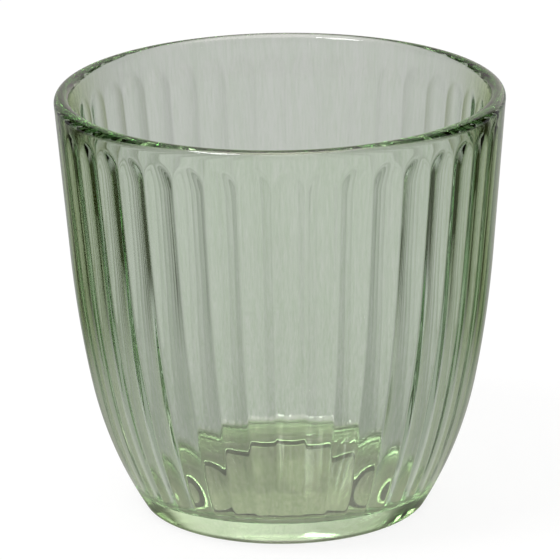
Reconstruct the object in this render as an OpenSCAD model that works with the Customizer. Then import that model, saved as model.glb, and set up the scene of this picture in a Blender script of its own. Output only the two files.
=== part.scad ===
// Stemless drinking glass, pressed in one piece: a tapered bowl, smooth outside, with vertical ribs inside.
// Its axis is Z and it stands on the plane z = 0. Lengths are in millimetres and angles in degrees.

/* [Overall] */
// Outside diameter of the mouth
rim_d = 89; // [80:0.5:100]
// Height from the table to the top of the lip
height = 85; // [76:0.5:96]
// Thickness of the wall at the lip, which is rounded to half of this
lip_t = 3.3; // [2.6:0.1:4]

/* [Outside] */
// Lean of the straight upper wall
wall_lean = 4.5; // [3:0.1:6]
// Height at which the straight wall turns into the belly
belly_top = 52; // [44:0.5:58]
// Radius of the belly, seen from the side
belly_r = 223; // [180:1:300]
// Height at which the belly turns into the heel
heel_top = 26; // [22:0.5:30]
// Radius of the heel, seen from the side
heel_r = 79; // [70:1:95]
// Rounding of the edge between the heel and the base
foot_r = 1; // [0.6:0.1:1.6]

/* [Inside] */
// Lean of the straight upper part of the inside wall
bore_lean = 6.4; // [5:0.1:7]
// Height at which the inside wall starts to curve in
bore_turn = 55; // [48:0.5:60]
// Radius of the inside wall below that height, seen from the side
bore_r = 198; // [170:1:240]
// Thickness of the glass from the table to the floor of the bowl
floor_t = 5.2; // [4:0.1:8]
// Rounding between the inside wall and the floor
floor_r = 3; // [2:0.1:5]

/* [Ribs] */
// Number of ribs round the inside
ribs = 40; // [30:1:44]
// How far the middle of a rib stands out of the wall near the top; lower down the ribs get narrower and lower
rib_h = 0.6; // [0.4:0.05:0.9]
// Width of the plain strip between two ribs
valley_w = 0.4; // [0.3:0.05:0.8]
// Height of the rounded tops of the ribs
rib_top = 80; // [72:0.5:81]
// Turn of the ribs about the axis, counted from +X
rib_turn = 2.1; // [0:0.1:9]

/* [Base] */
// Radius of the shallow recess under the base, inside the ring that the glass stands on
recess_r = 19; // [12:0.5:22]
// Depth of the recess
recess_h = 1; // [0.4:0.1:1.6]
// Width of the slope round the recess
recess_edge = 0.8; // [0.4:0.1:2]

/* [Hidden] */
$fn = 180;
over = 1;
glass_colour = "#b2c0b0";

// Straight line in the side view: its distance from the axis at height z, from a point on it and its lean
function line_r(point, lean, z) = point[0] - (point[1] - z) * tan(lean);
// Centre of an arc of radius r that starts at a point, where the wall leans by so much
function arc_centre(point, r, lean) = point + r * [-cos(lean), sin(lean)];
// Centre of a small arc, resting on the level z, that rounds the foot of a larger arc from within
function corner_centre(c, r, small_r, z) =
  [c[0] + sqrt(pow(r - small_r, 2) - pow(c[1] - z - small_r, 2)), z + small_r];
// Point where the small arc leaves the larger one
function corner_end(c, r, small_r, small_c) = c + (small_c - c) * r / (r - small_r);

// Lip, a round edge that both walls run into without a step
lip_r = lip_t / 2;
lip_c = [rim_d / 2 - lip_r, height - lip_r];
lip_out = lip_c + lip_r * [cos(wall_lean), -sin(wall_lean)];
lip_in = lip_c + lip_r * [-cos(bore_lean), sin(bore_lean)];

// Outside, from the lip down
belly_start = [line_r(lip_out, wall_lean, belly_top), belly_top];
belly_c = arc_centre(belly_start, belly_r, wall_lean);
heel_lean = asin((belly_c[1] - heel_top) / belly_r);
heel_start = [belly_c[0] + belly_r * cos(heel_lean), heel_top];
heel_c = arc_centre(heel_start, heel_r, heel_lean);
foot_c = corner_centre(heel_c, heel_r, foot_r, 0);
foot_end = corner_end(heel_c, heel_r, foot_r, foot_c);

// Inside, from the lip down
bore_start = [line_r(lip_in, bore_lean, bore_turn), bore_turn];
bore_c = arc_centre(bore_start, bore_r, bore_lean);
floor_c = corner_centre(bore_c, bore_r, floor_r, floor_t);
floor_end = corner_end(bore_c, bore_r, floor_r, floor_c);
floor_lean = asin((bore_c[1] - floor_end[1]) / bore_r);

// Ribs: each is the part of a round rod that stands out of the wall. The rod keeps its radius, and it sinks into
// the wall on the way down, so that its visible part stays as wide as the room between its neighbours.
function rib_room(r) = 2 * PI * r / ribs - valley_w;
function rib_rise(w) = rod_r - sqrt(pow(rod_r, 2) - pow(w / 2, 2));
rib_w = rib_room(line_r(lip_in, bore_lean, rib_top));
rod_r = (pow(rib_w / 2, 2) + pow(rib_h, 2)) / (2 * rib_h);
rod_len = (rib_top - bore_turn) / cos(bore_lean) - rib_w / 2;
rib_turn_h = rib_rise(rib_room(bore_start[0]));
rib_foot_h = rib_rise(rib_room(floor_end[0]));
rod_lean = bore_lean - atan((rib_h - rib_turn_h) / rod_len);

// Crest of the rib in the side view: an arc from the turn, along the rod, to the foot
crest_normal = [-cos(rod_lean), sin(rod_lean)];
crest_start = bore_start + rib_turn_h * crest_normal;
crest_run = floor_end + rib_foot_h * [-cos(floor_lean), sin(floor_lean)] - crest_start;
crest_r = crest_run * crest_run / (2 * crest_run * crest_normal);
crest_turn = asin((crest_start[1] + crest_r * crest_normal[1] - floor_t) / crest_r) - rod_lean;

// Wedge that holds one rib: its sides run within the plain strips
wedge_share = 0.25;
wedge_span = 360 / ribs - wedge_share * valley_w / bore_start[0] * 180 / PI;

// Slice of a disc between two heights, on the right of the axis
module disc_slice(c, r, z0, z1) {
  intersection() {
    translate(c)
      circle(r = r);
    translate([0, z0])
      square([rim_d, z1 - z0]);
  }
}

// Flat corner from the level below its centre c up to the point end, with the area inside it
module round_corner(c, r, end) {
  polygon([[0, c[1] - r], [c[0], c[1] - r], c, end, [0, end[1]]]);
  intersection() {
    translate(c)
      circle(r = r);
    polygon([c, c + [0, -2 * r], c + [2 * r, -2 * r], c + 2 * (end - c)]);
  }
}

// Half of the outside's side view, up to the middle of the lip
module outside_half() {
  polygon([[0, belly_top], belly_start, lip_out, lip_c, lip_in, [0, lip_in[1]]]);
  disc_slice(belly_c, belly_r, heel_top, belly_top);
  disc_slice(heel_c, heel_r, foot_end[1], heel_top);
  round_corner(foot_c, foot_r, foot_end);
}

// Half of the bowl's side view, without the ribs, open at the mouth
module bowl_half() {
  polygon([[0, bore_turn], bore_start, lip_in, [lip_in[0], height + over], [0, height + over]]);
  disc_slice(bore_c, bore_r, floor_end[1], bore_turn);
  round_corner(floor_c, floor_r, floor_end);
}

// Round part of the lip, above the two points where the walls meet it
module lip_half() {
  intersection() {
    translate(lip_c)
      circle(r = lip_r);
    polygon([
      lip_c,
      lip_c + 2 * (lip_out - lip_c),
      lip_c + [lip_t, lip_t],
      lip_c + [-lip_t, lip_t],
      lip_c + 2 * (lip_in - lip_c)
    ]);
  }
}

// Half of the recess under the base
module recess_half() {
  polygon([
    [0, -over],
    [recess_r, -over],
    [recess_r, 0],
    [recess_r - recess_edge, recess_h],
    [0, recess_h]
  ]);
}

// Rod whose surface forms one rib: straight along the upper wall, domed at the top and bent along the belly
module rib_rod() {
  cylinder(r = rod_r, h = rod_len);
  translate([0, 0, rod_len])
    intersection() {
      sphere(r = rod_r);
      translate([-rod_r, -rod_r, 0])
        cube([2 * rod_r, 2 * rod_r, rod_r]);
    }
  translate([-crest_r - rod_r, 0, 0])
    rotate([90, 0, 0])
      rotate_extrude(angle = -crest_turn)
        translate([crest_r + rod_r, 0])
          circle(r = rod_r);
}

// Wedge from the axis that keeps a rib clear of its neighbours
module rib_wedge() {
  rotate(-wedge_span / 2)
    linear_extrude(height + over)
      polygon([[0, 0], [rim_d, 0], rim_d * [cos(wedge_span), sin(wedge_span)]]);
}

// One rib, on the +X side
module rib() {
  intersection() {
    translate([bore_start[0], 0, bore_turn])
      rotate([0, rod_lean, 0])
        translate([rod_r - rib_turn_h, 0, 0])
          rib_rod();
    rib_wedge();
  }
}

// Room inside the glass
module bowl() {
  difference() {
    rotate_extrude()
      bowl_half();
    for (i = [0 : ribs - 1])
      rotate(rib_turn + i * 360 / ribs)
        rib();
  }
}

module tumbler() {
  color(glass_colour) {
    difference() {
      rotate_extrude()
        outside_half();
      bowl();
      rotate_extrude()
        recess_half();
    }
    rotate_extrude()
      lip_half();
  }
}

tumbler();
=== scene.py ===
from math import asin, atan2, cos, degrees, pi, radians, sin, sqrt, tan

import bpy
import numpy as np
from mathutils import Matrix, Vector


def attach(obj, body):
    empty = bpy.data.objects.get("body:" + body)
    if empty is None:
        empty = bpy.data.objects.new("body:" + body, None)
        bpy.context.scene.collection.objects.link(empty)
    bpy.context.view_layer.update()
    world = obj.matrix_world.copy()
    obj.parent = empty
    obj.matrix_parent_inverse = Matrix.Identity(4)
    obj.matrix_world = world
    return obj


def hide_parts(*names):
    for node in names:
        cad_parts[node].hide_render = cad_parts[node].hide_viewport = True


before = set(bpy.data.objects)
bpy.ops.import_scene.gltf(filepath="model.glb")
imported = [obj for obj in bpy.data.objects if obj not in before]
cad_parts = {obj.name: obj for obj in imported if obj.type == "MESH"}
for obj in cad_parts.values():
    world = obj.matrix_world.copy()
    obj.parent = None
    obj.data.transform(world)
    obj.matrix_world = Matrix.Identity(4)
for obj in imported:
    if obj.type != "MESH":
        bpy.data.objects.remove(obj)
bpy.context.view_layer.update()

# Sizes of the glass, in millimetres and degrees, as in the solid model
RIM_D, HEIGHT, LIP_T = 89.0, 85.0, 3.3
WALL_LEAN, BELLY_TOP, BELLY_R, HEEL_TOP, HEEL_R, FOOT_R = 4.5, 52.0, 223.0, 26.0, 79.0, 1.0
BORE_LEAN, BORE_TURN, BORE_R, FLOOR_T, FLOOR_R = 6.4, 55.0, 198.0, 5.2, 3.0
RIBS, RIB_TURN = 40, 2.1
RECESS_R, RECESS_H, RECESS_EDGE = 19.0, 1.0, 0.8

# How far the ribs stand out of the wall at their tops, where the bore turns, and at the floor
RIB_H, RIB_TURN_H, RIB_FOOT_H = 0.6, 0.51, 0.25
# The tops of the ribs end a little higher than in the solid model and are softer, as are the valleys between
RIB_TOP, TOP_LENGTH, VALLEY_SOFT = 80.5, 5.0, 0.12
# Points across one rib
RIB_STEPS = 20
# Heights at which the spacing of the mesh's rings changes; they are closest at the tops of the ribs
OVER_RIB_TOPS, UNDER_RIB_TOPS, LOW_WALL = 82, 70, 30
# The mesh starts and ends with a small flat round, this share of the recess and of the floor
MIDDLE = 0.02


# Side view of the glass

def sideways(lean):
    return np.array([cos(radians(lean)), -sin(radians(lean))])


class Wall:
    """A straight wall that leans outwards and turns into arcs below, given by its distance from the axis."""

    def __init__(self, start, lean, *arcs):
        self.start, self.slope, self.arcs = start, tan(radians(lean)), []
        for radius, top, bottom in arcs:
            x = self.radius(top)
            centre = np.array([x, top]) - radius * sideways(lean)
            self.arcs.append((centre, radius, top))
            lean = degrees(asin((centre[1] - bottom) / radius))

    def radius(self, z):
        for centre, radius, top in reversed(self.arcs):
            if z <= top:
                return centre[0] + sqrt(radius ** 2 - (z - centre[1]) ** 2)
        return self.start[0] - (self.start[1] - z) * self.slope


def corner(centre, radius, small, level):
    """Centre of the small arc that rounds the foot of an arc on a level, and the point where the two meet."""
    middle = np.array([
        centre[0] + sqrt((radius - small) ** 2 - (centre[1] - level - small) ** 2), level + small])
    return middle, centre + (middle - centre) * radius / (radius - small)


LIP_R = LIP_T / 2
lip = np.array([RIM_D / 2 - LIP_R, HEIGHT - LIP_R])
outside = Wall(lip + LIP_R * sideways(WALL_LEAN), WALL_LEAN,
               (BELLY_R, BELLY_TOP, HEEL_TOP), (HEEL_R, HEEL_TOP, 0))
inside = Wall(lip - LIP_R * sideways(BORE_LEAN), BORE_LEAN, (BORE_R, BORE_TURN, 0))
foot, foot_end = corner(outside.arcs[1][0], HEEL_R, FOOT_R, 0)
floor, floor_end = corner(inside.arcs[0][0], BORE_R, FLOOR_R, FLOOR_T)

columns = np.arange(RIBS * RIB_STEPS) * 2 * pi / (RIBS * RIB_STEPS)
# Place across a rib, from -0.5 to 0.5, with 0 on its crest
across = ((columns - radians(RIB_TURN)) * RIBS / (2 * pi) + 0.5) % 1 - 0.5


def rib_relief(z):
    """How far the ribs stand out of the inside wall at height z, for every column."""
    pitch = 2 * pi * inside.radius(z) / RIBS
    rise = np.interp(z, [FLOOR_T, BORE_TURN, RIB_TOP], [RIB_FOOT_H, RIB_TURN_H, RIB_H])
    rod = ((pitch / 2) ** 2 + rise ** 2) / (2 * rise)
    into_top = max(z - RIB_TOP + TOP_LENGTH, 0) / TOP_LENGTH
    off_axis = np.hypot(np.abs(across) * pitch, into_top * pitch / 2)
    # A rib ends well within its rod
    off_axis = np.minimum(off_axis, rod * 0.999)
    height = np.sqrt(rod ** 2 - off_axis ** 2) - (rod - rise)
    return (height + np.sqrt(height ** 2 + VALLEY_SOFT ** 2)) / 2


def spread(start, end, steps):
    """Even steps from start to end, without start."""
    return np.linspace(start, end, steps + 1)[1:]


def steepness(centre, point):
    """Direction from the centre of an arc to its end, in degrees above level."""
    return degrees(atan2(point[1] - centre[1], point[0] - centre[0]))


def profile():
    """Rings of the surface, from the middle of the base up the outside, over the lip and down the inside."""
    rings = []

    def ring(radius, z):
        rings.append((np.broadcast_to(radius, columns.shape), np.broadcast_to(z, columns.shape)))

    # Recess, its step and the flat ring that the glass stands on
    inner = RECESS_R - RECESS_EDGE
    # The last of these is close to the step, so that the recess is shaded flat up to its edge
    for share in (MIDDLE, 0.5, 0.9, 0.985):
        ring(inner * share, RECESS_H)
    for t in np.linspace(0, 1, 11):
        ring(inner + RECESS_EDGE * t, RECESS_H * (1 + cos(pi * t)) / 2)
    for t in (0.04, 0.5, 0.96):
        ring(RECESS_R + (foot[0] - RECESS_R) * t, 0)
    # Rounded foot, outside wall and lip
    for a in np.linspace(-90, steepness(foot, foot_end), 9):
        ring(foot[0] + FOOT_R * cos(radians(a)), foot[1] + FOOT_R * sin(radians(a)))
    for z in (*spread(foot_end[1], LOW_WALL, 35), *spread(LOW_WALL, outside.start[1], 39)):
        ring(outside.radius(z), z)
    for a in spread(-WALL_LEAN, 180 - BORE_LEAN, 24):
        ring(lip[0] + LIP_R * cos(radians(a)), lip[1] + LIP_R * sin(radians(a)))
    # Inside wall with its ribs, which run out round the corner of the floor
    for z in (*spread(inside.start[1], OVER_RIB_TOPS, 3), *spread(OVER_RIB_TOPS, UNDER_RIB_TOPS, 48),
              *spread(UNDER_RIB_TOPS, LOW_WALL, 40), *spread(LOW_WALL, floor_end[1], 23)):
        ring(inside.radius(z) - rib_relief(z), z)
    relief = rib_relief(floor_end[1])
    for a in spread(steepness(floor, floor_end), -90, 17):
        nx, nz = cos(radians(a)), sin(radians(a))
        left = relief * max(nx, 0) ** 0.5
        ring(floor[0] + FLOOR_R * nx - left * nx, floor[1] + FLOOR_R * nz - left * nz)
    for share in (0.93, 0.6, 0.3, MIDDLE):
        ring(floor[0] * share, FLOOR_T)
    return rings


def make_tumbler():
    rings = profile()
    radius = np.array([r for r, z in rings])
    height = np.array([z for r, z in rings])
    points = np.stack([radius * np.cos(columns), radius * np.sin(columns), height], -1)
    count, wide = radius.shape
    index = np.arange(count * wide).reshape(count, wide)
    beside = np.roll(index, -1, 1)
    faces = np.stack([index[:-1], beside[:-1], beside[1:], index[1:]], -1).reshape(-1, 4).tolist()
    faces += [index[0][::-1].tolist(), index[-1].tolist()]
    mesh = bpy.data.meshes.new("tumbler_glass")
    mesh.from_pydata((points.reshape(-1, 3) / 1000).tolist(), [], faces)
    mesh.update()
    mesh.shade_smooth()
    piece = bpy.data.objects.new("tumbler_glass", mesh)
    bpy.context.scene.collection.objects.link(piece)
    return piece


# Materials; their lengths are in metres

class Number:
    """A node's output in sums; each sum adds its Math node."""

    def __init__(self, shader, socket):
        self.shader, self.socket = shader, socket

    def math(self, operation, *inputs):
        return self.shader.node("ShaderNodeMath", {"operation": operation}, *inputs)

    def __add__(self, other):
        return self.math("ADD", self, other)

    def __mul__(self, other):
        return self.math("MULTIPLY", self, other)

    def __sub__(self, other):
        return self.math("SUBTRACT", self, other)

    def __rsub__(self, other):
        return self.math("SUBTRACT", other, self)

    def __abs__(self):
        return self.math("ABSOLUTE", self)

    __radd__, __rmul__ = __add__, __mul__

    def rise(self, low, high):
        """0 below low, 1 above high, and smooth between."""
        smooth = {"interpolation_type": "SMOOTHSTEP"}
        return self.shader.node("ShaderNodeMapRange", smooth, self, low, high, 0, 1)


class Shader:
    """The nodes of one material or world."""

    def __init__(self, owner):
        owner.use_nodes = True
        self.tree = owner.node_tree
        self.tree.nodes.clear()

    def node(self, kind, settings=None, *inputs, output=0, **named):
        node = self.tree.nodes.new(kind)
        for name, value in (settings or {}).items():
            setattr(node, name, value)
        for key, value in [*enumerate(inputs), *((k.replace("_", " "), v) for k, v in named.items())]:
            if isinstance(value, Number):
                self.tree.links.new(value.socket, node.inputs[key])
            elif value is not None:
                node.inputs[key].default_value = value
        return Number(self, node.outputs[output]) if len(node.outputs) else node

    def outputs(self, kind, *names):
        node = self.tree.nodes.new(kind)
        return [Number(self, node.outputs[name]) for name in names]

    def split(self, vector):
        parts = self.outputs("ShaderNodeSeparateXYZ", "X", "Y", "Z")
        self.tree.links.new(vector.socket, parts[0].socket.node.inputs[0])
        return parts

    def join(self, x, y, z):
        return self.node("ShaderNodeCombineXYZ", None, x, y, z)

    def mix(self, share, first, second):
        """A colour between two colours."""
        return self.node("ShaderNodeMix", {"data_type": "RGBA"}, share, None, None, None, None, None,
                         first, second, output=2)

    def grain(self, place, scale, detail):
        """Soft noise with so many spots in a metre."""
        return self.node("ShaderNodeTexNoise", None, Vector=place, Scale=scale, Detail=detail)

    def from_axis(self, x, y):
        """Distance from the glass's axis."""
        square = x * x + y * y
        return square.math("SQRT", square)


WHITE = (1, 1, 1, 1)

# What one surface of the glass lets through: at a darker cord, at a lighter cord, and at a slant
DARK_CORD, LIGHT_CORD, AT_A_SLANT = (0.875, 0.933, 0.84, 1), (0.968, 0.991, 0.946, 1), (0.56, 0.68, 0.26, 1)
SLANT = (0.3, 1.0)
GLASS_MASS = (0.905, 0.965, 0.89, 1)
# The cords and the waves are drawn out upwards: a height counts as this share of itself
CORD_STRETCH, WAVE_STRETCH = 0.03, 0.12
# Share of fine cords among broad ones. Their edges are crisp low down and softer over the last two heights.
FINE_SHARE, CORD_BLUR, MORE_BLUR, CORDS_SOFTEN = 0.65, 0.06, 0.09, (0.02, 0.06)
# Painted shade under the base: the step round the recess is dark, the edge the glass stands on half dark.
# Each pair is where one side of such a place begins and ends, as a distance from the axis or a height.
STEP_INNER, STEP_OUTER, STEP_TOP = (0.0166, 0.0168), (0.0181, 0.0183), (0.0012, 0.0015)
FOOT_SHADE_INNER, FOOT_SHADE_TOP, FOOT_SHADE_SHARE = (0.025, 0.0285), (0.0006, 0.0015), 0.5
# The painted shade is this dark colour, with a dull rough surface
PAINTED_SHADE_COLOUR, MATT_ROUGHNESS = (0.09, 0.1, 0.075, 1), 0.5


def green_glass():
    """Pressed soda glass, pale sage green, with the fine upright cords and waves that the mould leaves."""
    material = bpy.data.materials.new("green_glass")
    shader = Shader(material)
    place, = shader.outputs("ShaderNodeTexCoord", "Object")
    x, y, z = shader.split(place)
    upright = shader.join(x, y, z * CORD_STRETCH)
    fine = shader.grain(upright, scale=2200.0, detail=2.0)
    broad = shader.grain(upright, scale=260.0, detail=1.0)
    blur = CORD_BLUR + MORE_BLUR * z.rise(*CORDS_SOFTEN)
    cords = (fine * FINE_SHARE + broad * (1 - FINE_SHARE)).rise(0.5 - blur, 0.5 + blur)
    slant, = shader.outputs("ShaderNodeLayerWeight", "Facing")
    tint = shader.mix(slant.rise(*SLANT), shader.mix(cords, DARK_CORD, LIGHT_CORD), AT_A_SLANT)
    waves = shader.grain(shader.join(x, y, z * WAVE_STRETCH), scale=700.0, detail=1.0)
    surface = shader.node("ShaderNodeBump", None, Strength=1.0, Distance=0.000003, Height=waves + broad)
    out = shader.from_axis(x, y)
    # Painted shade: a dark ring on the step round the recess, and a half dark ring on the edge the glass
    # stands on
    step = out.rise(*STEP_INNER) * (1 - out.rise(*STEP_OUTER)) * (1 - z.rise(*STEP_TOP))
    foot_shade = FOOT_SHADE_SHARE * out.rise(*FOOT_SHADE_INNER) * (1 - z.rise(*FOOT_SHADE_TOP))
    painted_shade = step + foot_shade
    glass = shader.node(
        "ShaderNodeBsdfPrincipled", None,
        Base_Color=shader.mix(painted_shade, tint, PAINTED_SHADE_COLOUR), Metallic=painted_shade, Roughness=MATT_ROUGHNESS * painted_shade,
        IOR=1.51, Transmission_Weight=1.0, Normal=surface)
    mass = shader.node("ShaderNodeVolumeAbsorption", None, Color=GLASS_MASS, Density=65.0)
    shader.node("ShaderNodeOutputMaterial", None, Surface=glass, Volume=mass)
    return material


# What the glass gathers from round about. Directions are angles about its axis, in radians: 0 is straight
# behind it, plus is to the right, minus to the left, and the camera stands at pi. Each pair is where a change
# begins and ends.

# Two dark cards stand left and right of the glass. Only the glass shows them, as dark stripes along its ribs.
CARD = (0.035, 0.05, 0.0, 1)
RIGHT_CARD_STARTS, RIGHT_CARD_ENDS = (radians(34), radians(48)), (radians(78), radians(98))
LEFT_CARD_STARTS, LEFT_CARD_ENDS = (radians(28), radians(46)), (radians(88), radians(118))
# On the table they start at this distance from the axis, and mostly fade out further off
CARDS_START, CARDS_FADE, FADE_SHARE = (0.07, 0.125), (0.2, 0.45), 0.8
TOWARDS_CAMERA = (2.0, 2.5)

# Glow of the table: under the middle of the glass, less under its ring, more outside it, and more in front
MIDDLE_GLOW, RING_LOSS, OPEN_GAIN, FRONT_GAIN = 0.37, 0.14, 0.32, 0.17
RING_FROM, OPEN_FROM, FRONT_FROM = (0.012, 0.018), (0.028, 0.034), (0.07, 0.1)
# It is dimmer beside the line that runs straight back from the glass
SIDES_LOSS, SIDES_START, SIDES_END, LINE_BACK = 0.3, (0.08, 0.55), (1.2, 1.6), 0.05
# The glow under the glass is green: painted light, as if it came through the glass
GREEN_UNDER, GREEN_UNTIL = (0.9, 0.98, 0.7, 1), (0.024, 0.036)

# Glow of the backdrop: all round, more at the back right, less towards the camera, more above and overhead
BACKDROP = (1, 0.91, 0.9, 1)
BACKDROP_GLOW, BACK_GAIN, CAMERA_LOSS, ABOVE_GLOW, OVERHEAD_GAIN = 0.6, 0.42, 0.2, 0.9, 2.8
BACK_START, BACK_END, ABOVE_FROM, OVERHEAD_FROM = (-0.3, 0.5), (0.8, 1.2), (0.6, 0.9), (0.85, 0.97)

# Share of plain white in the table that the camera sees; the rest takes light and shadow
TABLE_WHITE = 0.85
# Strength of the soft light that falls on the table
SOFT_LIGHT = 0.85


def dark_cards(turn):
    """1 towards the two dark cards, fading to 0 around them."""
    right = turn.rise(*RIGHT_CARD_STARTS) * (1 - turn.rise(*RIGHT_CARD_ENDS))
    left = (0 - turn).rise(*LEFT_CARD_STARTS) * (1 - (0 - turn).rise(*LEFT_CARD_ENDS))
    return right + left


def table_paint():
    """White table top. What the glass gathers from it is a pale glow, darker where the two cards stand."""
    material = bpy.data.materials.new("table_paint")
    shader = Shader(material)
    seen, through, gloss = shader.outputs(
        "ShaderNodeLightPath", "Is Camera Ray", "Is Transmission Ray", "Is Glossy Ray")
    position, = shader.outputs("ShaderNodeNewGeometry", "Position")
    x, y, _ = shader.split(position)
    turn = x.math("ARCTAN2", x, y)
    away = shader.from_axis(x, y)
    under = MIDDLE_GLOW - RING_LOSS * away.rise(*RING_FROM) + OPEN_GAIN * away.rise(*OPEN_FROM)
    front = FRONT_GAIN * away.rise(*FRONT_FROM) * abs(turn).rise(*TOWARDS_CAMERA)
    sides = SIDES_LOSS * abs(turn - LINE_BACK).rise(*SIDES_START) * (1 - abs(turn).rise(*SIDES_END))
    level = under * (1 - sides) + front
    near = away.rise(*CARDS_START) * (1 - FADE_SHARE * away.rise(*CARDS_FADE))
    bare = shader.mix(away.rise(*GREEN_UNTIL), GREEN_UNDER, WHITE)
    colour = shader.mix(dark_cards(turn) * near, bare, CARD)
    white = shader.node("ShaderNodeEmission", None, WHITE, 1.0)
    paint = shader.node("ShaderNodeBsdfDiffuse", None, WHITE)
    top = shader.node("ShaderNodeMixShader", None, TABLE_WHITE * seen, paint, white)
    lit = shader.node("ShaderNodeVectorMath", {"operation": "SCALE"}, colour, Scale=level)
    glow = shader.node("ShaderNodeEmission", None, lit, 1.0)
    surface = shader.node("ShaderNodeMixShader", None, (through + gloss) * (1 - seen), top, glow)
    shader.node("ShaderNodeOutputMaterial", None, Surface=surface)
    return material


def studio():
    """White to the camera, soft light on the table, and for the glass a pale backdrop between dark cards."""
    world = bpy.data.worlds.new("studio")
    bpy.context.scene.world = world
    shader = Shader(world)
    direction, = shader.outputs("ShaderNodeTexCoord", "Generated")
    x, y, z = shader.split(direction)
    turn = x.math("ARCTAN2", x, y)
    back = BACK_GAIN * turn.rise(*BACK_START) * (1 - abs(turn).rise(*BACK_END))
    level = BACKDROP_GLOW + back - CAMERA_LOSS * abs(turn).rise(*TOWARDS_CAMERA)
    above = z.rise(*ABOVE_FROM)
    cards = dark_cards(turn) * (1 - above)
    level = level * (1 - above) + ABOVE_GLOW * above + OVERHEAD_GAIN * z.rise(*OVERHEAD_FROM)
    seen, soft = shader.outputs("ShaderNodeLightPath", "Is Camera Ray", "Is Diffuse Ray")
    plain = seen + soft
    strength = level * (1 - plain) + seen + SOFT_LIGHT * soft
    colour = shader.mix(plain, shader.mix(cards, BACKDROP, CARD), WHITE)
    light = shader.node("ShaderNodeBackground", None, colour, strength)
    shader.node("ShaderNodeOutputWorld", None, Surface=light)


# The set

def make_table():
    """A wide plane a hair under the base."""
    bpy.ops.mesh.primitive_plane_add(size=6, location=(0, 0, -0.0002))
    table = bpy.context.object
    table.name = "table_top"
    table.data.materials.append(table_paint())


def place_object(name, data, place):
    holder = bpy.data.objects.new(name, data)
    bpy.context.scene.collection.objects.link(holder)
    holder.location = place
    return holder


def make_lamp(name, place, size, power):
    """A round soft lamp that is turned to the middle of the glass."""
    lamp = bpy.data.lights.new(name, "AREA")
    lamp.shape, lamp.size, lamp.energy = "DISK", size, power
    holder = place_object(name, lamp, place)
    holder.rotation_euler = (Vector((0, 0, 0.04)) - Vector(place)).to_track_quat("-Z", "Y").to_euler()


def make_camera():
    """Long lens from the front, 18 degrees above the table, with the photograph's slight roll."""
    elevation, roll, distance, middle = radians(18.27), radians(-0.834), 0.9367, Vector((0, 0, 0.04005))
    # In pixels: the frame's width, the lens, and how far right of and below its middle the glass lies
    frame_width, focal, middle_right, middle_below = 560, 4690.0, 2.8, 26.16
    ahead = Vector((0, cos(elevation), -sin(elevation)))
    right, up = Vector((1, 0, 0)), Vector((0, sin(elevation), cos(elevation)))
    right, up = right * cos(roll) + up * sin(roll), up * cos(roll) - right * sin(roll)
    place = middle - ahead * distance
    ahead = (ahead - right * middle_right / focal + up * middle_below / focal).normalized()
    right = (right - ahead * right.dot(ahead)).normalized()
    up = right.cross(ahead)
    camera = bpy.data.cameras.new("camera")
    camera.sensor_width, camera.clip_end = 36, 100
    camera.lens = camera.sensor_width * focal / frame_width
    holder = place_object("camera", camera, place)
    holder.rotation_mode = "QUATERNION"
    holder.rotation_quaternion = Matrix((right, up, -ahead)).transposed().to_quaternion()
    bpy.context.scene.camera = holder


tumbler = make_tumbler()
tumbler.data.materials.append(green_glass())
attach(tumbler, "root")
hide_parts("tumbler")
# The solid model's own node, which the finer one stands for, gets the same glass
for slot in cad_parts["tumbler"].material_slots:
    slot.material = tumbler.data.materials[0]
make_table()
studio()
make_lamp("softbox", place=(-0.35, -0.25, 0.9), size=0.3, power=3.5)
make_camera()
scene = bpy.context.scene
scene.view_settings.view_transform = "Standard"
# Light runs far inside the wall of a glass before it comes out
scene.cycles.max_bounces, scene.cycles.glossy_bounces, scene.cycles.transmission_bounces = 32, 16, 32
